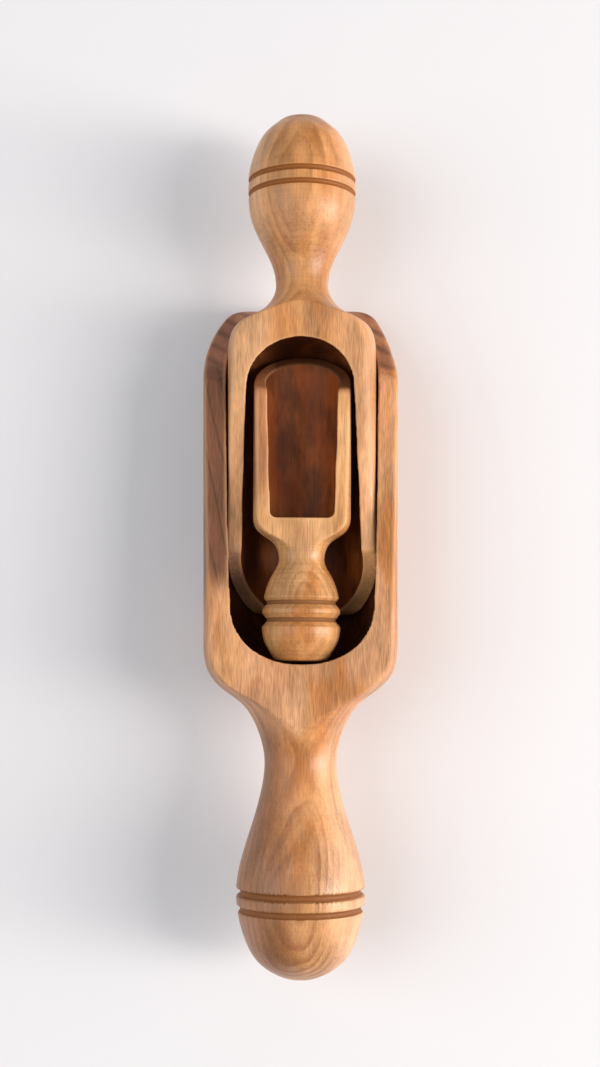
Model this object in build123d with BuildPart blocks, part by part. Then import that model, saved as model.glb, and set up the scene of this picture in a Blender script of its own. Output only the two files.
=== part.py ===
"""Nest of three turned wooden scoops.

Each scoop is one piece of wood: a bulb handle with two turned grooves, a slim neck, and a round
body that is bored from the mouth, sliced open along the top and cut back at the mouth.

The medium scoop lies in the large one, and the small scoop lies in the medium one, each turned
end for end. +Y runs along the nest, from the large handle to the medium handle, and +Z is up.
The origin is under the middle of the nest, on the surface that the large scoop lies on.
"""

import math
import os
from dataclasses import dataclass

from build123d import *


@dataclass
class ScoopSize:
    """Sizes of one scoop in mm. A station is a distance from the handle's end along the axis,
    and a point is (radius, station)."""

    length: float
    end_r: float  # flat at the handle's end
    crown: tuple  # points on the rounded end of the bulb
    bulb: tuple  # widest point of the bulb
    waist: tuple  # points on the taper from bulb to neck
    neck: tuple  # slimmest point
    shoulder: tuple  # points on the curve from neck to body
    body: tuple  # where the body starts
    mouth_r: float  # the body widens very slightly to this radius at the mouth
    grooves: tuple  # stations of the turned grooves
    groove_width: float
    groove_depth: float
    bore_r: float
    bore_x: float  # how far off the axis the bore was drilled
    bowl_floor: float  # station of the bore's closed end
    bowl_corner: float  # radius between the bore and its closed end
    rim_z: float  # height of the sliced rim above the axis, where the body starts
    rim_drop: float  # degrees the rim drops from neck to mouth
    rim_end: float  # station where the rim turns down into the mouth's bevel
    bevel: float  # degrees of the bevel below the axis direction
    rim_round: float  # radius between rim and bevel
    nose_r: float  # radius between bevel and lip
    soft: float  # radius that sanding leaves on the rim's edges


LARGE = ScoopSize(
    length=197.8,
    end_r=3.4,
    crown=((12.2, 5.0), (16.5, 13.2)),
    bulb=(18.25, 24.0),
    waist=((15.5, 37.8), (11.5, 51.3)),
    neck=(10.3, 60.2),
    shoulder=((12.3, 69.6), (16.4, 76.5), (23.5, 82.1), (26.6, 86.4)),
    body=(27.9, 97.0),
    mouth_r=28.6,
    grooves=(19.6, 24.3),
    groove_width=1.9,
    groove_depth=1.2,
    bore_r=22.3,
    bore_x=0.45,
    bowl_floor=87.1,
    bowl_corner=17.0,
    rim_z=10.2,
    rim_drop=5.6,
    rim_end=171.0,
    bevel=41.0,
    rim_round=3.0,
    nose_r=12.0,
    soft=0.6,
)

MEDIUM = ScoopSize(
    length=146.8,
    end_r=5.4,
    crown=((8.1, 1.8), (10.9, 4.4), (14.7, 12.1)),
    bulb=(15.95, 19.4),
    waist=((15.2, 29.6), (11.0, 39.5), (8.1, 46.8)),
    neck=(7.7, 50.4),
    shoulder=((9.7, 55.9), (15.4, 60.4), (19.9, 63.5)),
    body=(21.7, 70.6),
    mouth_r=21.8,
    grooves=(19.5, 23.6),
    groove_width=1.5,
    groove_depth=0.55,
    bore_r=17.6,
    bore_x=0.0,
    bowl_floor=65.9,
    bowl_corner=15.5,
    rim_z=9.9,
    rim_drop=5.6,
    rim_end=129.2,
    bevel=48.0,
    rim_round=2.0,
    nose_r=7.0,
    soft=0.5,
)

SMALL = ScoopSize(
    length=90.5,
    end_r=6.9,
    crown=((8.6, 1.9), (10.4, 5.2)),
    bulb=(11.25, 10.6),
    waist=((10.6, 18.6), (8.4, 24.6)),
    neck=(6.55, 29.0),
    shoulder=((8.0, 33.5), (11.6, 36.2), (13.5, 38.4)),
    body=(14.05, 43.0),
    mouth_r=14.15,
    grooves=(11.6, 16.5),
    groove_width=2.0,
    groove_depth=1.6,
    bore_r=10.75,
    bore_x=0.0,
    bowl_floor=40.6,
    bowl_corner=1.6,
    rim_z=5.9,
    rim_drop=3.6,
    rim_end=78.1,
    bevel=54.6,
    rim_round=1.5,
    nose_r=1.5,
    soft=0.35,
)

trim = 2.0  # the blank's spare length, cut off at the mouth

# How the scoops lie in each other.
nest_length = 249.8
nest_gap = 0.25  # air under the medium scoop
medium_roll = -4.0  # degrees about its own axis, which lifts its +X side
small_lift = 3.9  # small axis above medium axis: it bridges the two hollows, end to end
small_start = -35.9  # Y of the small handle's end
small_pitch = 0.8  # degrees, mouth up
small_yaw = -0.4  # degrees, handle towards +X
small_x = 0.1


def revolve_on(bench, profile, mode):
    """Turn a profile about the bench's long axis."""
    revolve(profile.sketch, axis=Axis(bench.origin, bench.y_dir), mode=mode)


def round_groove(size):
    """Section of a round-bottomed groove, placed at the bulb's surface."""
    half = size.groove_width / 2
    cutter_r = (half**2 + size.groove_depth**2) / (2 * size.groove_depth)
    with Locations((cutter_r - size.groove_depth, 0)):
        Circle(cutter_r, mode=Mode.SUBTRACT)


def sharp_groove(size):
    """Section of a groove cut with the corner of a chisel, placed at the bulb's surface."""
    Polygon(
        (-size.groove_depth, 0),
        (size.groove_depth, -size.groove_width),
        (size.groove_depth, size.groove_width),
        align=None,
        mode=Mode.SUBTRACT,
    )


def turn_blank(bench, size, groove):
    """Solid turned shape: handle, neck, shoulder and body, before boring."""
    with BuildSketch(bench) as profile:
        with BuildLine():
            end = Line((0, 0), (size.end_r, 0))
            crown = Spline(end @ 1, *size.crown, size.bulb, tangents=((1, 0.3), (0, 1)))
            waist = Spline(crown @ 1, *size.waist, size.neck, tangents=((0, 1), (0, 1)))
            shoulder = Spline(waist @ 1, *size.shoulder, size.body, tangents=((0, 1), (0, 1)))
            Polyline(
                shoulder @ 1,
                (size.mouth_r, size.length),
                (size.mouth_r, size.length + trim),
                (0, size.length + trim),
                end @ 0,
            )
        make_face()
        with Locations(*[(size.bulb[0], station) for station in size.grooves]):
            groove(size)
    revolve_on(bench, profile, Mode.ADD)


def bore_bowl(bench, size):
    """Hollow from the mouth to the bowl's floor, with a round corner at the floor."""
    floor_r = size.bore_r - size.bowl_corner
    wall_start = size.bowl_floor + size.bowl_corner
    centre = bench.from_local_coords((size.bore_x, 0, 0))
    drill = Plane(origin=centre, x_dir=bench.x_dir, z_dir=bench.z_dir)
    with BuildSketch(drill) as profile:
        with BuildLine():
            floor = Line((0, size.bowl_floor), (floor_r, size.bowl_floor))
            corner = RadiusArc(floor @ 1, (size.bore_r, wall_start), -size.bowl_corner)
            wall = Line(corner @ 1, (size.bore_r, size.length + size.bore_r))
            out = Line(wall @ 1, (0, size.length + size.bore_r))
            Line(out @ 1, floor @ 0)
        make_face()
    revolve_on(drill, profile, Mode.SUBTRACT)


def slice_open(bench, size):
    """Take the top off along the sloping rim, and cut the mouth back in a bevel with a round nose."""
    side = Plane(origin=bench.origin, x_dir=bench.y_dir, z_dir=bench.x_dir)
    fall = math.tan(math.radians(size.rim_drop))
    start = size.neck[1]
    margin = 2 * size.mouth_r
    rim_start = (start, size.rim_z + (size.body[1] - start) * fall)
    rim_end = (size.rim_end, size.rim_z - (size.rim_end - size.body[1]) * fall)
    bevel_drop = (size.length - size.rim_end) * math.tan(math.radians(size.bevel))
    bevel_end = (size.length, rim_end[1] - bevel_drop)
    with BuildSketch(side) as waste:
        with BuildLine():
            cut = FilletPolyline(
                rim_start,
                rim_end,
                bevel_end,
                (size.length, -margin),
                radius=(size.rim_round, size.nose_r),
            )
            Polyline(
                cut @ 1,
                (size.length + margin, -margin),
                (size.length + margin, margin),
                (start, margin),
                cut @ 0,
            )
        make_face()
    extrude(waste.sketch, amount=margin, both=True, mode=Mode.SUBTRACT)
    sliced = edges(Select.LAST)
    fillet(sliced - sliced.filter_by(Axis(bench.origin, bench.x_dir)), radius=size.soft)


large_axis_z = LARGE.mouth_r
medium_axis_z = large_axis_z - (LARGE.bore_r - MEDIUM.mouth_r - nest_gap)
small_axis_z = medium_axis_z + small_lift

large_bench = Plane(origin=(0, -nest_length / 2, large_axis_z), x_dir=(1, 0, 0), z_dir=(0, 0, 1))
medium_bench = Plane(
    origin=(LARGE.bore_x, nest_length / 2, medium_axis_z), x_dir=(-1, 0, 0), z_dir=(0, 0, 1)
)
medium_bench = medium_bench.rotated((0, medium_roll, 0))
small_bench = Plane(origin=(small_x, small_start, small_axis_z), x_dir=(1, 0, 0), z_dir=(0, 0, 1))
small_bench = small_bench.rotated((small_pitch, 0, small_yaw))

with BuildPart() as large_scoop:
    turn_blank(large_bench, LARGE, round_groove)
    bore_bowl(large_bench, LARGE)
    slice_open(large_bench, LARGE)
large_scoop.part.label = "large_scoop"

with BuildPart() as medium_scoop:
    turn_blank(medium_bench, MEDIUM, round_groove)
    bore_bowl(medium_bench, MEDIUM)
    slice_open(medium_bench, MEDIUM)
medium_scoop.part.label = "medium_scoop"

with BuildPart() as small_scoop:
    turn_blank(small_bench, SMALL, sharp_groove)
    bore_bowl(small_bench, SMALL)
    slice_open(small_bench, SMALL)
small_scoop.part.label = "small_scoop"

os.makedirs("parts", exist_ok=True)
export_step(large_scoop.part, "parts/large_scoop.step")
export_step(medium_scoop.part, "parts/medium_scoop.step")
export_step(small_scoop.part, "parts/small_scoop.step")
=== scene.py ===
"""Looks for the nest of three turned wooden scoops: one refined mesh per scoop, with the wood's
grain, the turner's marks and the soft edges sanding left, on a pale studio floor.

Each scoop is described in its own millimetre frame: x across, y along the axis from the handle's
end (a "station"), z up out of the bowl. A scalar field says how far a point is outside the wood,
and every mesh point is moved onto the field's zero surface.
"""

import math
from dataclasses import dataclass

import bpy
import numpy as np
from mathutils import Matrix, Vector


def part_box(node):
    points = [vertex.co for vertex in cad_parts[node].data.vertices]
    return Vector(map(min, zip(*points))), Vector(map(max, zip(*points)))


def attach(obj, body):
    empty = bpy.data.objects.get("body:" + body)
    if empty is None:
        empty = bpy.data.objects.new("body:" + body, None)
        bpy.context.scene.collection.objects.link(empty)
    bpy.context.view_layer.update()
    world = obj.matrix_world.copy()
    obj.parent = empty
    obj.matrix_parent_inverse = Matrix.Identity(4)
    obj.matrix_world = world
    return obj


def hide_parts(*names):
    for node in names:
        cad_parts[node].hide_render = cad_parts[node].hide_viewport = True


MM = 0.001
END_EDGE = 0.5  # mm, how wide the handle's end is rounded off
GROOVE_EDGE = 0.12  # mm, the same along the grooves

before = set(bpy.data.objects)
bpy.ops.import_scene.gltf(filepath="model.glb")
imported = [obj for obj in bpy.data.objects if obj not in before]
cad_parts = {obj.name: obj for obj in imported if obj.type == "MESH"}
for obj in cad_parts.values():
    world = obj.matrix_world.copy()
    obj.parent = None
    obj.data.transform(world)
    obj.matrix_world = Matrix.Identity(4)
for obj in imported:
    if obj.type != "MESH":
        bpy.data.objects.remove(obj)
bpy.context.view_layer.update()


# ---------------------------------------------------------------------------------------------
# The shape of a scoop
# ---------------------------------------------------------------------------------------------


@dataclass
class Scoop:
    """One scoop's sizes in mm, the same as its CAD node's apart from the softness of its edges.
    A profile point is (radius, station)."""

    node: str
    body: str
    slot: str
    voxel: float  # mesh size
    length: float
    profile: list  # turned outline from the end flat to the start of the body
    knots: tuple  # which profile points the outline passes straight along the axis
    mouth_r: float
    grooves: tuple
    groove_width: float
    groove_depth: float
    sharp_grooves: bool
    bore_r: float
    bore_x: float  # how far off the axis the bore was drilled
    bowl_floor: float
    bowl_corner: float
    rim_z: float
    rim_drop: float
    rim_end: float
    bevel: float
    rim_round: float
    nose_r: float
    soft: float  # how round sanding left the rim's edges
    wide_edge: tuple  # (side, from station, to station, extra softness) of an edge sanded more


LARGE = Scoop(
    node="large_scoop",
    body="large",
    slot="large_wood",
    voxel=0.58,
    length=197.8,
    profile=[
        (3.4, 0.0), (12.2, 5.0), (16.5, 13.2), (18.25, 24.0),
        (15.5, 37.8), (11.5, 51.3), (10.3, 60.2),
        (12.3, 69.6), (16.4, 76.5), (23.5, 82.1), (26.6, 86.4), (27.9, 97.0),
    ],
    knots=(3, 6, 11),
    mouth_r=28.6,
    grooves=(19.6, 24.3),
    groove_width=1.9,
    groove_depth=1.2,
    sharp_grooves=False,
    bore_r=22.3,
    bore_x=0.45,
    bowl_floor=87.1,
    bowl_corner=17.0,
    rim_z=10.2,
    rim_drop=5.6,
    rim_end=171.0,
    bevel=41.0,
    rim_round=3.0,
    nose_r=12.0,
    soft=0.9,
    wide_edge=(1, 168.0, 192.0, 2.0),
)

MEDIUM = Scoop(
    node="medium_scoop",
    body="medium",
    slot="medium_wood",
    voxel=0.46,
    length=146.8,
    profile=[
        (5.4, 0.0), (8.1, 1.8), (10.9, 4.4), (14.7, 12.1), (15.95, 19.4),
        (15.2, 29.6), (11.0, 39.5), (8.1, 46.8), (7.7, 50.4),
        (9.7, 55.9), (15.4, 60.4), (19.9, 63.5), (21.7, 70.6),
    ],
    knots=(4, 8, 12),
    mouth_r=21.8,
    grooves=(19.5, 23.6),
    groove_width=1.5,
    groove_depth=0.55,
    sharp_grooves=False,
    bore_r=17.6,
    bore_x=0.0,
    bowl_floor=65.9,
    bowl_corner=15.5,
    rim_z=9.9,
    rim_drop=5.6,
    rim_end=129.2,
    bevel=48.0,
    rim_round=2.0,
    nose_r=7.0,
    soft=0.8,
    wide_edge=(-1, 62.6, 130.6, 3.0),
)

SMALL = Scoop(
    node="small_scoop",
    body="small",
    slot="small_wood",
    voxel=0.31,
    length=90.5,
    profile=[
        (6.9, 0.0), (8.6, 1.9), (10.4, 5.2), (11.25, 10.6),
        (10.6, 18.6), (8.4, 24.6), (6.55, 29.0),
        (8.0, 33.5), (11.6, 36.2), (13.5, 38.4), (14.05, 43.0),
    ],
    knots=(3, 6, 10),
    mouth_r=14.15,
    grooves=(11.6, 16.5),
    groove_width=2.0,
    groove_depth=1.6,
    sharp_grooves=True,
    bore_r=10.75,
    bore_x=0.0,
    bowl_floor=40.6,
    bowl_corner=1.6,
    rim_z=5.9,
    rim_drop=3.6,
    rim_end=78.1,
    bevel=54.6,
    rim_round=1.5,
    nose_r=1.5,
    soft=0.7,
    wide_edge=(1, 40.0, 76.0, 0.5),
)


def clamped_spline(points, start, end, steps=400):
    """Smooth curve through the points, with unit tangents start and end: an array of points."""
    p = np.array(points, float)
    t = np.concatenate([[0], np.cumsum(np.linalg.norm(np.diff(p, axis=0), axis=1))])
    n = len(p)
    h = np.diff(t)
    system = np.zeros((n, n))
    right = np.zeros((n, 2))
    system[0, 0] = system[-1, -1] = 1
    right[0], right[-1] = start, end
    for i in range(1, n - 1):
        system[i, i - 1 : i + 2] = h[i], 2 * (h[i - 1] + h[i]), h[i - 1]
        rise = (p[i] - p[i - 1]) / h[i - 1] * h[i] + (p[i + 1] - p[i]) / h[i] * h[i - 1]
        right[i] = 3 * rise
    slope = np.linalg.solve(system, right)
    s = np.linspace(0, t[-1], steps)
    k = np.clip(np.searchsorted(t, s, side="right") - 1, 0, n - 2)
    u = ((s - t[k]) / h[k])[:, None]
    step = h[k][:, None]
    return (
        (2 * u**3 - 3 * u**2 + 1) * p[k]
        + (u**3 - 2 * u**2 + u) * step * slope[k]
        + (3 * u**2 - 2 * u**3) * p[k + 1]
        + (u**3 - u**2) * step * slope[k + 1]
    )


def unit(x, y):
    """A direction of length 1."""
    length = math.hypot(x, y)
    return (x / length, y / length)


def blend_max(a, b, k):
    """The larger of a and b, with the corner between them rounded over a width k."""
    h = np.clip(1 - np.abs(a - b) / k, 0, None)
    return np.maximum(a, b) + h * h * k / 4


def fillet_width(radius, degrees):
    """The k of blend_max that rounds a corner between two planes like a fillet of that radius."""
    return 4 * radius * (1 - math.cos(math.radians(degrees) / 2))


class Shape:
    """The scalar field of one scoop, in its own frame in mm: below 0 inside the wood."""

    def __init__(self, scoop):
        self.scoop = scoop
        first = 0
        start = unit(1, 0.3)
        runs = []
        for last in scoop.knots:
            runs.append(clamped_spline(scoop.profile[first : last + 1], start, (0, 1)))
            first = last
            start = (0, 1)
        runs.append(np.array([(scoop.mouth_r, scoop.length), (scoop.mouth_r, 2 * scoop.length)]))
        outline = np.concatenate(runs)
        self.stations = np.arange(-5, scoop.length + 10, 0.05)
        self.radii = np.interp(self.stations, outline[:, 1], outline[:, 0])
        self.slopes = np.gradient(self.radii, self.stations)

    def turned(self, x, y, z):
        """Outside of the turned blank."""
        rho = np.hypot(x, z)
        radius = np.interp(y, self.stations, self.radii)
        slope = np.interp(y, self.stations, self.slopes)
        side = (rho - radius) / np.sqrt(1 + slope**2)
        return blend_max(side, -y, END_EDGE)

    def groove(self, x, y, z):
        """Inside of the turned grooves: below 0 where a groove's cutter passed."""
        s = self.scoop
        rho = np.hypot(x, z)
        crest = s.profile[s.knots[0]][0]
        nearest = np.full_like(y, 1e3)
        for station in s.grooves:
            if s.sharp_grooves:
                fall = s.groove_depth / s.groove_width
                cut = crest - s.groove_depth + np.abs(y - station) * fall - rho
                cut /= math.hypot(1, fall)
            else:
                half = s.groove_width / 2
                cutter = (half**2 + s.groove_depth**2) / (2 * s.groove_depth)
                cut = np.hypot(rho - crest - cutter + s.groove_depth, y - station) - cutter
            nearest = np.minimum(nearest, cut)
        return nearest

    def bowl(self, x, y, z):
        """Inside of the bore: below 0 in the hollow. A hand-held tool left it a little wavy."""
        s = self.scoop
        wave = 0.08 * np.sin(0.24 * y + 1.9 * np.sin(0.11 * y) + 0.15 * x)
        a = np.hypot(x - s.bore_x, z) - (s.bore_r - s.bowl_corner) + wave
        b = s.bowl_floor + s.bowl_corner - y
        outside = np.hypot(np.maximum(a, 0), np.maximum(b, 0))
        return outside + np.minimum(np.maximum(a, b), 0) - s.bowl_corner

    def cut(self, x, y, z):
        """Above the sliced rim, the mouth's bevel or the end."""
        s = self.scoop
        drop, bevel = math.radians(s.rim_drop), math.radians(s.bevel)
        rim_height = s.rim_z - (y - s.profile[-1][1]) * math.tan(drop)
        end_height = s.rim_z - (s.rim_end - s.profile[-1][1]) * math.tan(drop)
        rim = (z - rim_height) * math.cos(drop)
        slant = (y - s.rim_end) * math.sin(bevel) + (z - end_height) * math.cos(bevel)
        top = blend_max(rim, slant, fillet_width(s.rim_round, s.bevel - s.rim_drop))
        top = blend_max(top, y - s.length, fillet_width(s.nose_r, 90 - s.bevel))
        neck = s.profile[s.knots[1]][1]
        return np.minimum(top, y - neck)

    def softness(self, x, y):
        """How wide the rim's outer edge is rounded: crisp where the rim runs out into the neck, and
        more along one stretch of one side."""
        s = self.scoop
        body = s.profile[-1][1]
        side, first, last, extra = s.wide_edge
        middle, half = (first + last) / 2, (last - first) / 2
        along = np.clip(1 - np.abs(y - middle) / half, 0, 1)
        toward = np.clip(side * x / s.bore_r, 0, 1)
        crisp = 0.4 + 0.6 * np.clip((y - body + 14) / 10, 0, 1)
        return s.soft * crisp + extra * along**0.6 * toward

    def field(self, p):
        """How far outside the wood each point is."""
        x, y, z = p[:, 0], p[:, 1], p[:, 2]
        s = self.scoop
        out = blend_max(self.turned(x, y, z), -self.groove(x, y, z), GROOVE_EDGE)
        out = blend_max(out, self.cut(x, y, z), self.softness(x, y))
        return blend_max(out, -self.bowl(x, y, z), s.soft * 0.7)

    def gradient(self, p, step=0.02):
        """The field's slope at each point, measured over two steps."""
        slope = np.zeros_like(p)
        for axis in range(3):
            move = np.zeros(3)
            move[axis] = step
            slope[:, axis] = (self.field(p + move) - self.field(p - move)) / (2 * step)
        return slope

    def settle(self, p, rounds=3):
        """Moves each point straight onto the surface, by at most about 0.6 mm in each round."""
        for _ in range(rounds):
            slope = self.gradient(p)
            steep = np.maximum((slope**2).sum(1), 0.2)
            push = np.clip(self.field(p) / steep, -0.6, 0.6)
            p = p - slope * push[:, None]
        return p


# ---------------------------------------------------------------------------------------------
# Where the scoops lie
# ---------------------------------------------------------------------------------------------

large_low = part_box("large_scoop")[0]
medium_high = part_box("medium_scoop")[1]
nest_gap = 0.25 * MM  # air under the medium scoop
medium_roll = math.radians(-4)
small_x = 0.1 * MM
small_start = -35.9 * MM  # Y of the small handle's end
small_lift = 3.9 * MM  # small axis above medium axis
small_pitch = math.radians(0.8)
small_yaw = math.radians(-0.4)
axis_z = large_low.z + LARGE.mouth_r * MM
medium_z = axis_z - (LARGE.bore_r - MEDIUM.mouth_r) * MM + nest_gap
small_z = medium_z + small_lift

places = {
    "large_scoop": Matrix.Translation((0, large_low.y, axis_z)),
    "medium_scoop": Matrix.Translation((LARGE.bore_x * MM, medium_high.y, medium_z))
    @ Matrix.Rotation(medium_roll, 4, "Y")
    @ Matrix.Rotation(math.pi, 4, "Z"),
    "small_scoop": Matrix.Translation((small_x, small_start, small_z))
    @ Matrix.Rotation(small_pitch, 4, "X")
    @ Matrix.Rotation(small_yaw, 4, "Z"),
}


def fine_mesh(scoop):
    """A dense even mesh of the scoop's CAD node, in the shared frame but in mm."""
    source = bpy.data.objects.new("source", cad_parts[scoop.node].data.copy())
    bpy.context.scene.collection.objects.link(source)
    source.scale = (1 / MM,) * 3
    bpy.context.view_layer.update()
    source.data.transform(source.matrix_world)
    source.scale = (1, 1, 1)
    weld = source.modifiers.new("weld", "WELD")
    weld.merge_threshold = 0.001
    remesh = source.modifiers.new("remesh", "REMESH")
    remesh.mode = "VOXEL"
    remesh.voxel_size = scoop.voxel
    bpy.context.view_layer.update()
    graph = bpy.context.evaluated_depsgraph_get()
    mesh = bpy.data.meshes.new_from_object(source.evaluated_get(graph))
    bpy.data.objects.remove(source)
    return mesh


def relax(points, edges, amount=0.5):
    """Moves each point part of the way to the middle of its neighbours."""
    count = np.bincount(edges.ravel(), minlength=len(points))
    total = np.zeros_like(points)
    for axis in range(3):
        total[:, axis] = np.bincount(
            edges[:, 0], points[edges[:, 1], axis], minlength=len(points)
        ) + np.bincount(edges[:, 1], points[edges[:, 0], axis], minlength=len(points))
    return points + amount * (total / count[:, None] - points)


def mark(mesh, shape, points):
    """Writes what the material reads at each point: its own-frame place and the kind of surface."""
    x, y, z = points[:, 0], points[:, 1], points[:, 2]
    reach = 1.0
    near_turned = np.clip(1 + shape.turned(x, y, z) / reach, 0, 1)
    near_cut = np.clip(1 + shape.cut(x, y, z) / reach, 0, 1)
    near_bowl = np.clip(1 - shape.bowl(x, y, z) / reach, 0, 1)
    marks = {
        "sawn": near_cut,
        "bored": near_bowl,
        "arris": np.clip(1.7 * near_cut * np.maximum(near_turned, near_bowl), 0, 1),
        "turned": near_turned,
    }
    for name, value in marks.items():
        data = mesh.attributes.new(name, "FLOAT", "POINT").data
        data.foreach_set("value", value.astype(np.float32))
    data = mesh.attributes.new("own", "FLOAT_VECTOR", "POINT").data
    data.foreach_set("vector", points.astype(np.float32).ravel())


def build(scoop):
    """The scoop's visible piece."""
    mesh = fine_mesh(scoop)
    shape = Shape(scoop)
    place = places[scoop.node]
    scale = Matrix.Diagonal((MM, MM, MM, 1))
    to_shared = np.array(place @ scale)
    to_own = np.linalg.inv(to_shared)
    points = np.zeros(len(mesh.vertices) * 3)
    mesh.vertices.foreach_get("co", points)
    points = points.reshape(-1, 3) * MM @ to_own[:3, :3].T + to_own[:3, 3]
    edges = np.zeros(len(mesh.edges) * 2, int)
    mesh.edges.foreach_get("vertices", edges)
    edges = edges.reshape(-1, 2)
    points = shape.settle(points)
    for _ in range(4):
        points = shape.settle(relax(points, edges), 1)
    points = shape.settle(points, 2)
    normals = shape.gradient(points)
    normals /= np.linalg.norm(normals, axis=1)[:, None]
    placed = points @ to_shared[:3, :3].T + to_shared[:3, 3]
    mesh.vertices.foreach_set("co", placed.astype(np.float32).ravel())
    turn = np.array(place)[:3, :3]
    mesh.update()
    mesh.polygons.foreach_set("use_smooth", [True] * len(mesh.polygons))
    mesh.normals_split_custom_set_from_vertices([tuple(v) for v in normals @ turn.T])
    mark(mesh, shape, points)
    piece = bpy.data.objects.new(scoop.node + "_wood", mesh)
    bpy.context.scene.collection.objects.link(piece)
    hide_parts(scoop.node)
    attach(piece, scoop.body)
    return piece


# ---------------------------------------------------------------------------------------------
# Wood
# ---------------------------------------------------------------------------------------------


class Graph:
    """Short ways to add shader nodes. A value is a number, a tuple or another node's output."""

    def __init__(self, material):
        material.use_nodes = True
        self.tree = material.node_tree
        self.bsdf = self.tree.nodes["Principled BSDF"]

    def node(self, kind, **settings):
        made = self.tree.nodes.new(kind)
        for name, value in settings.items():
            setattr(made, name, value)
        return made

    def feed(self, socket, value):
        if isinstance(value, bpy.types.NodeSocket):
            self.tree.links.new(value, socket)
        else:
            socket.default_value = value

    def read(self, name):
        """A mesh attribute: a vector for "own", a number for the others."""
        made = self.node("ShaderNodeAttribute", attribute_name=name)
        return made.outputs["Vector" if name == "own" else "Fac"]

    def math(self, operation, a, b=0.0, c=0.0):
        made = self.node("ShaderNodeMath", operation=operation)
        for socket, value in zip(made.inputs, (a, b, c)):
            self.feed(socket, value)
        return made.outputs[0]

    def add(self, a, b):
        return self.math("ADD", a, b)

    def times(self, a, b):
        return self.math("MULTIPLY", a, b)

    def vector(self, operation, a, b):
        made = self.node("ShaderNodeVectorMath", operation=operation)
        self.feed(made.inputs[0], a)
        self.feed(made.inputs[1], b)
        return made.outputs[0]

    def noise(self, place, stretch, offset=0.0, detail=2.0, rough=0.5):
        """Smooth noise around 0.5; stretch is how many features it has per mm along x, y and z."""
        at = self.vector("MULTIPLY", place, stretch)
        at = self.vector("ADD", at, (offset, offset * 0.7, offset * 1.3))
        made = self.node("ShaderNodeTexNoise")
        self.feed(made.inputs["Vector"], at)
        made.inputs["Scale"].default_value = 1.0
        made.inputs["Detail"].default_value = detail
        made.inputs["Roughness"].default_value = rough
        return made.outputs[0]

    def ramp(self, value, low, high, start=0.0, end=1.0):
        """Smooth step from start at low to end at high."""
        made = self.node("ShaderNodeMapRange", interpolation_type="SMOOTHSTEP")
        for socket, number in zip(made.inputs, (value, low, high, start, end)):
            self.feed(socket, number)
        return made.outputs[0]

    def mix(self, factor, a, b, blend="MIX"):
        made = self.node("ShaderNodeMix", data_type="RGBA", blend_type=blend)
        self.feed(made.inputs[0], factor)
        self.feed(made.inputs[6], a if not isinstance(a, tuple) else (*a, 1))
        self.feed(made.inputs[7], b if not isinstance(b, tuple) else (*b, 1))
        return made.outputs[2]

    def grey(self, value):
        made = self.node("ShaderNodeCombineColor")
        for socket in made.inputs[:3]:
            self.feed(socket, value)
        return made.outputs[0]


@dataclass
class Wood:
    """One scoop's wood. Colours are linear; places are in the scoop's own frame in mm."""

    tan: tuple
    warm: tuple  # orange patches
    pale: tuple  # pinkish pale patches
    dark: tuple  # late wood at the end of each year's ring
    groove: tuple
    bowl: tuple  # what the bowl's surface keeps of the colour: darker bored wood and painted shade in the hollow
    edge: tuple  # worn, sanded arrises
    edge_end: float  # station where they stop being lighter
    pith: tuple  # x and z of the tree's centre at the handle's end
    lean: tuple  # how far the pith moves in x and z per mm of station
    ring: float  # width of a year's ring
    ring_show: float
    fibre_show: float
    lathe_show: float
    burn: float  # width of the burnt band in a groove, against the groove's own width
    seed: float
    marks_and_painted_light: object  # adds this piece of wood's own marks to the colour, and painted light and shade


def large_heartwood_and_painted_light(g, colour, x, y, z, warp):
    """Brown heartwood along the left wall to the mouth, with its rings slanting across the rim;
    painted shade and a painted highlight on the handle's two sides.
    """
    side = g.ramp(g.add(x, g.times(warp, 5.0)), -21.0, -17.0, 1.0, 0.0)
    along = g.ramp(g.add(y, g.times(warp, 22.0)), 106.0, 116.0)
    mask = g.times(side, along)
    slant = g.add(g.add(x, 27.0), g.times(g.add(y, -145.6), 0.239))
    slant = g.add(slant, g.times(warp, 4.0))
    stripe = g.math("PINGPONG", slant, 2.3)
    lines = g.ramp(stripe, 0.0, 0.55, 1.0, 0.0)
    brown = g.mix(g.times(lines, 0.75), (0.150, 0.053, 0.024), (0.045, 0.014, 0.006))
    colour = g.mix(g.times(mask, 0.94), colour, brown)
    mouth = g.ramp(g.add(y, g.times(warp, 10.0)), 172.5, 176.5)
    mouth = g.times(mouth, g.ramp(g.read("sawn"), 0.25, 0.8))
    wave = g.math("PINGPONG", g.add(g.times(y, 0.9), g.times(x, 0.55)), 2.6)
    bands = g.times(g.ramp(wave, 0.2, 1.6, 1.0, 0.0), mouth)
    colour = g.mix(g.times(mouth, 0.55), colour, (0.40, 0.165, 0.095))
    colour = g.mix(g.times(bands, 0.6), colour, (0.13, 0.045, 0.024))
    # Painted shade down the left side of the handle, the side away from the light.
    handle = g.ramp(y, 66.0, 82.0, 1.0, 0.0)
    shadow = g.times(handle, g.ramp(g.add(x, g.times(warp, 14.0)), -11.0, 1.5, 0.68, 0.0))
    colour = g.mix(shadow, colour, (0.25, 0.108, 0.056))
    # Painted highlight along the right side of the handle, the side toward the light.
    painted_highlight = g.times(handle, g.ramp(x, 4.0, 13.0, 0.0, 0.5))
    return g.mix(painted_highlight, colour, (0.82, 0.50, 0.31))


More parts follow.
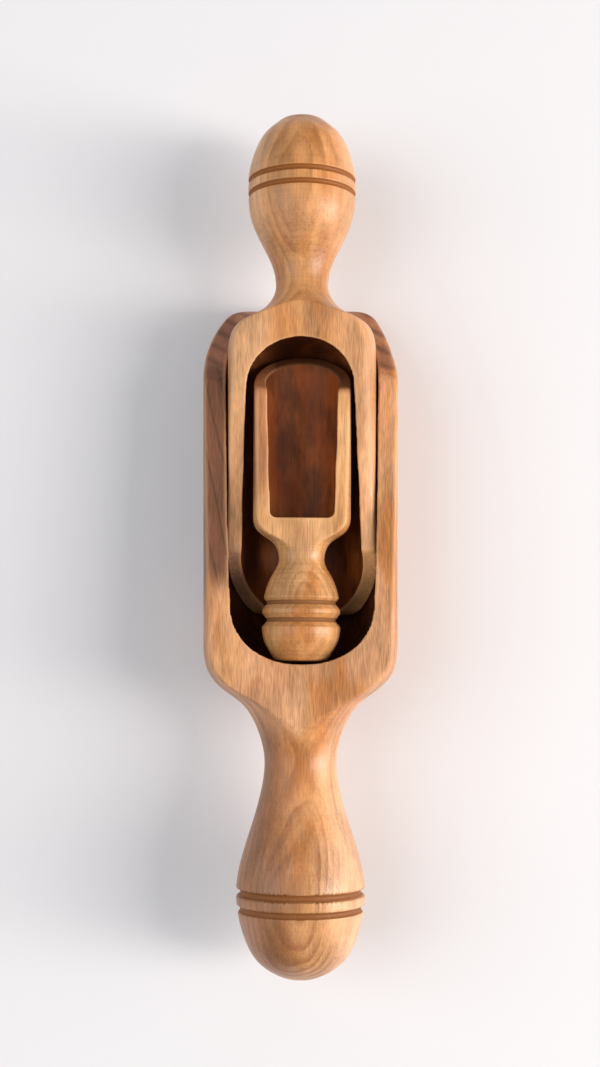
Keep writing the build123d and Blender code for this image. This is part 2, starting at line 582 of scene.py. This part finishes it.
def medium_marks_and_painted_light(g, colour, x, y, z, warp):
    """A purple-brown corner with a yellow edge on one side of the mouth; painted light on the
    mouth's bevel on the other side, and both flanks painted paler, a painted highlight on the flank
    toward the light.
    """
    side = g.ramp(g.add(x, g.times(warp, 3.0)), 13.5, 16.5)
    along = g.ramp(g.add(y, g.times(warp, 8.0)), 120.6, 131.6)
    mask = g.times(side, along)
    streak = g.noise(g.read("own"), (1.1, 0.06, 1.1), 31.0)
    purple = g.mix(g.ramp(streak, 0.42, 0.58), (0.32, 0.135, 0.10), (0.17, 0.066, 0.058))
    colour = g.mix(g.times(mask, 0.8), colour, purple)
    rim = g.times(g.ramp(x, 15.2, 16.6, 1.0, 0.0), g.ramp(x, 13.0, 14.4))
    yellow = g.times(rim, g.ramp(y, 126.6, 132.6))
    colour = g.mix(g.times(yellow, 0.7), colour, (0.55, 0.27, 0.05))
    # Painted light: the mouth's bevel on the side toward the light is painted a bright tan.
    painted_light_bevel = g.times(g.ramp(x, -15.0, -12.0, 1.0, 0.0), g.ramp(y, 127.5, 129.5))
    colour = g.mix(g.times(painted_light_bevel, 0.85), colour, (0.95, 0.46, 0.14))
    # Both flanks are painted paler; on the flank toward the light this is a painted highlight.
    pale_flank_and_painted_sheen = g.math("ABSOLUTE", g.add(x, g.times(warp, 8.0)))
    return g.mix(g.ramp(pale_flank_and_painted_sheen, 5.0, 13.0, 0.0, 0.38), colour, (0.84, 0.49, 0.26))


def small_marks_and_painted_shadow(g, colour, x, y, z, warp):
    """Pinker, redder wood on the left side, and a mouth darkened by a painted shadow of the medium
    scoop's arch over darker wood.
    """
    side = g.ramp(g.add(x, g.times(warp, 6.0)), -10.0, -4.0, 1.0, 0.0)
    along = g.ramp(g.add(y, g.times(warp, 10.0)), 44.0, 56.0)
    colour = g.mix(g.times(g.times(side, along), 0.7), colour, (0.40, 0.155, 0.072))
    # Painted shadow of the medium scoop's arch over the mouth, with darker wood there; the hollow
    # itself is left out.
    mouth = g.ramp(g.add(y, g.times(warp, 6.0)), 76.5, 79.5)
    hollow = g.times(g.read("bored"), g.ramp(g.read("sawn"), 0.35, 0.75, 1.0, 0.0))
    outside = g.add(1.0, g.times(hollow, -1.0))
    left = g.ramp(g.add(x, g.times(warp, 4.0)), -9.5, -7.5)
    painted_shadow_and_dark_wood = g.times(g.times(mouth, outside), g.add(0.45, g.times(left, 0.5)))
    return g.mix(painted_shadow_and_dark_wood, colour, (0.15, 0.050, 0.017))


LARGE_WOOD = Wood(
    tan=(0.62, 0.30, 0.120),
    warm=(0.53, 0.20, 0.052),
    pale=(0.67, 0.34, 0.17),
    dark=(0.27, 0.092, 0.026),
    groove=(0.24, 0.082, 0.016),
    bowl=(0.16, 0.09, 0.05),
    edge=(0.76, 0.42, 0.20),
    edge_end=300.0,
    pith=(-9.0, 34.0),
    lean=(0.10, -0.04),
    ring=2.9,
    ring_show=0.62,
    fibre_show=0.4,
    lathe_show=0.2,
    burn=1.05,
    seed=3.1,
    marks_and_painted_light=large_heartwood_and_painted_light,
)
MEDIUM_WOOD = Wood(
    tan=(0.60, 0.275, 0.098),
    warm=(0.50, 0.185, 0.045),
    pale=(0.60, 0.285, 0.125),
    dark=(0.31, 0.110, 0.030),
    groove=(0.27, 0.082, 0.008),
    bowl=(0.32, 0.17, 0.07),
    edge=(0.78, 0.44, 0.20),
    edge_end=300.0,
    pith=(-8.0, 38.0),
    lean=(0.04, -0.03),
    ring=3.4,
    ring_show=0.5,
    fibre_show=0.36,
    lathe_show=0.4,
    burn=1.3,
    seed=11.7,
    marks_and_painted_light=medium_marks_and_painted_light,
)
SMALL_WOOD = Wood(
    tan=(0.63, 0.31, 0.115),
    warm=(0.55, 0.22, 0.062),
    pale=(0.68, 0.36, 0.155),
    dark=(0.34, 0.125, 0.036),
    groove=(0.25, 0.100, 0.030),
    bowl=(0.43, 0.235, 0.090),
    edge=(0.76, 0.44, 0.20),
    edge_end=77.0,
    pith=(6.0, 30.0),
    lean=(0.0, 0.05),
    ring=2.6,
    ring_show=0.4,
    fibre_show=0.45,
    lathe_show=0.42,
    burn=0.75,
    seed=23.4,
    marks_and_painted_light=small_marks_and_painted_shadow,
)


def wood(scoop, look):
    """The scoop's wood: growth rings around a leaning pith, fibres along the scoop, soft patches
    of colour, the burnt grooves, and the turner's and the saw's fine marks."""
    material = bpy.data.materials.new(scoop.slot)
    g = Graph(material)
    own = g.read("own")
    split = g.node("ShaderNodeSeparateXYZ")
    g.feed(split.inputs[0], own)
    x, y, z = split.outputs
    sawn, bored = g.read("sawn"), g.read("bored")
    arris, turned = g.read("arris"), g.read("turned")
    warp = g.add(g.noise(own, (0.06, 0.016, 0.06), look.seed, 1.5), -0.5)

    across = g.add(g.add(x, -look.pith[0]), g.times(y, -look.lean[0]))
    up = g.add(g.add(z, -look.pith[1]), g.times(y, -look.lean[1]))
    away = g.math("SQRT", g.add(g.times(across, across), g.times(up, up)))
    rings = g.add(g.times(away, 1 / look.ring), g.times(warp, 5.0))
    year = g.math("FRACT", rings)
    late = g.times(g.ramp(year, 0.15, 0.85), g.ramp(year, 0.85, 1.0, 1.0, 0.0))
    strong = g.noise(own, (0.11, 0.03, 0.11), look.seed + 5.0, 1.0)
    late = g.times(late, g.ramp(strong, 0.38, 0.62, 0.25, 1.0))
    late = g.times(late, g.ramp(sawn, 0.0, 1.0, 1.0, 0.55))

    cloud = g.noise(own, (0.10, 0.034, 0.10), look.seed + 12.0, 3.0, 0.6)
    patch = g.noise(own, (0.085, 0.028, 0.085), look.seed + 9.0, 2.0)
    blush = g.noise(own, (0.12, 0.035, 0.12), look.seed + 17.0, 3.0)
    colour = g.mix(g.ramp(patch, 0.42, 0.58), look.tan, look.warm)
    colour = g.mix(g.ramp(blush, 0.45, 0.65, 0.0, 0.8), colour, look.pale)
    colour = g.mix(g.times(late, look.ring_show), colour, look.dark)
    colour = look.marks_and_painted_light(g, colour, x, y, z, warp)

    fibre = g.noise(own, (1.9, 0.024, 1.9), look.seed + 2.0, 2.5, 0.6)
    hair = g.noise(own, (3.3, 0.020, 3.3), look.seed + 4.0, 0.0)
    lathe = g.noise(own, (0.0, 2.2, 0.0), look.seed + 6.0, 2.0, 0.7)
    lathe = g.times(g.add(lathe, -0.5), turned)
    fleck = g.ramp(g.noise(own, (2.6, 0.30, 2.6), look.seed + 8.0, 1.0), 0.60, 0.72)
    shade = g.ramp(cloud, 0.36, 0.62, 0.80, 1.12)
    shade = g.add(shade, g.times(g.add(fibre, -0.5), look.fibre_show * 1.5))
    shade = g.add(shade, g.times(g.add(hair, -0.5), g.add(0.22, g.times(sawn, 0.34))))
    shade = g.add(shade, g.times(lathe, look.lathe_show))
    shade = g.add(shade, g.times(fleck, -0.10))
    colour = g.mix(1.0, colour, g.grey(shade), "MULTIPLY")

    clear = g.ramp(y, scoop.profile[-1][1] - 12.0, scoop.profile[-1][1] + 2.0)
    clear = g.times(clear, g.ramp(y, look.edge_end - 1.5, look.edge_end + 1.0, 1.0, 0.0))
    colour = g.mix(g.times(g.times(arris, clear), 0.4), colour, look.edge)
    # Inside the bore the colour is darkened in mottled patches: darker bored wood and painted shade
    # in the hollow.
    mottle = g.noise(own, (0.17, 0.06, 0.17), look.seed + 13.0, 3.0, 0.6)
    mottle = g.grey(g.ramp(mottle, 0.36, 0.64, 0.65, 1.35))
    hollow = g.mix(1.0, g.mix(1.0, colour, look.bowl, "MULTIPLY"), mottle, "MULTIPLY")
    inside = g.times(bored, g.ramp(sawn, 0.35, 0.75, 1.0, 0.0))
    colour = g.mix(inside, colour, hollow)

    offsets = [g.math("ABSOLUTE", g.add(y, -station)) for station in scoop.grooves]
    nearest = g.math("MINIMUM", offsets[0], offsets[1])
    wide = look.burn * scoop.groove_width / 2
    burnt = g.ramp(nearest, wide * 0.7, wide, 1.0, 0.0)
    burnt = g.times(burnt, g.ramp(fibre, 0.2, 0.5, 0.8, 1.0))
    colour = g.mix(burnt, colour, look.groove)
    g.feed(g.bsdf.inputs["Base Color"], colour)
    g.bsdf.inputs["Specular IOR Level"].default_value = 0.36

    rough = g.add(0.32, g.times(g.add(fibre, -0.5), 0.22))
    rough = g.add(rough, g.times(sawn, 0.20))
    rough = g.add(rough, g.times(bored, 0.28))
    rough = g.add(rough, g.times(burnt, 0.25))
    g.feed(g.bsdf.inputs["Roughness"], rough)

    height = g.add(g.times(fibre, 0.8), g.times(hair, 0.5))
    height = g.add(height, g.times(lathe, 2.0 * look.lathe_show))
    height = g.add(height, g.times(fleck, -0.5))
    bump = g.node("ShaderNodeBump")
    bump.inputs["Strength"].default_value = 0.5
    bump.inputs["Distance"].default_value = 0.00012
    g.feed(bump.inputs["Height"], height)
    g.feed(g.bsdf.inputs["Normal"], bump.outputs[0])
    return material


for scoop, look in ((LARGE, LARGE_WOOD), (MEDIUM, MEDIUM_WOOD), (SMALL, SMALL_WOOD)):
    piece = build(scoop)
    piece.data.materials.clear()
    piece.data.materials.append(wood(scoop, look))


# ---------------------------------------------------------------------------------------------
# Camera, light and floor
# ---------------------------------------------------------------------------------------------


def make_camera():
    """Looks almost straight down on the nest, 5.8 degrees off the vertical."""
    tilt = math.radians(5.8)
    distance = 0.435
    target = Vector((-0.15 * MM, 1.05 * MM, axis_z))
    data = bpy.data.cameras.new("camera")
    data.lens = 50.61
    data.sensor_width = 36
    camera = bpy.data.objects.new("camera", data)
    camera.location = target + distance * Vector((0, -math.sin(tilt), math.cos(tilt)))
    camera.rotation_euler = (tilt, 0, 0)
    bpy.context.scene.collection.objects.link(camera)
    bpy.context.scene.camera = camera


def area_light(name, position, aim, size, power, colour):
    """A rectangular soft light at a position, facing aim."""
    data = bpy.data.lights.new(name, "AREA")
    data.shape = "RECTANGLE"
    data.size, data.size_y = size
    data.energy = power
    data.color = colour
    light = bpy.data.objects.new(name, data)
    light.location = position
    light.rotation_euler = (Vector(aim) - Vector(position)).to_track_quat("-Z", "Y").to_euler()
    bpy.context.scene.collection.objects.link(light)
    return light


def make_studio():
    """Pale floor, a long soft light and a low wide one from the right, a weaker one from the left,
    and an even sky."""
    floor_size = 6
    bpy.ops.mesh.primitive_plane_add(size=floor_size)
    floor = bpy.context.object
    floor.name = "floor"
    material = bpy.data.materials.new("pale_floor")
    material.use_nodes = True
    bsdf = material.node_tree.nodes["Principled BSDF"]
    bsdf.inputs["Base Color"].default_value = (0.775, 0.76, 0.765, 1)
    bsdf.inputs["Roughness"].default_value = 0.8
    floor.data.materials.append(material)

    far = 1.5  # m from the nest to each light
    for name, side, degrees, along, size, power, colour in (
        ("key", 1, 31, -0.18, (0.40, 1.4), 25.5, (1.0, 0.94, 0.90)),
        ("glow", 1, 13, 0.0, (0.9, 1.4), 7.0, (1.0, 0.95, 0.90)),
        ("fill", -1, 48, 0.0, (1.0, 1.4), 10.5, (0.93, 0.96, 1.0)),
    ):
        rise = math.radians(degrees)
        spot = (side * far * math.cos(rise), along, far * math.sin(rise))
        area_light(name, spot, (0, 0, 0.02), size, power, colour)

    world = bpy.data.worlds.new("world")
    world.use_nodes = True
    background = world.node_tree.nodes["Background"]
    background.inputs["Color"].default_value = (0.93, 0.96, 1.0, 1)
    background.inputs["Strength"].default_value = 0.40
    bpy.context.scene.world = world


make_camera()
make_studio()
bpy.context.scene.view_settings.view_transform = "Standard"
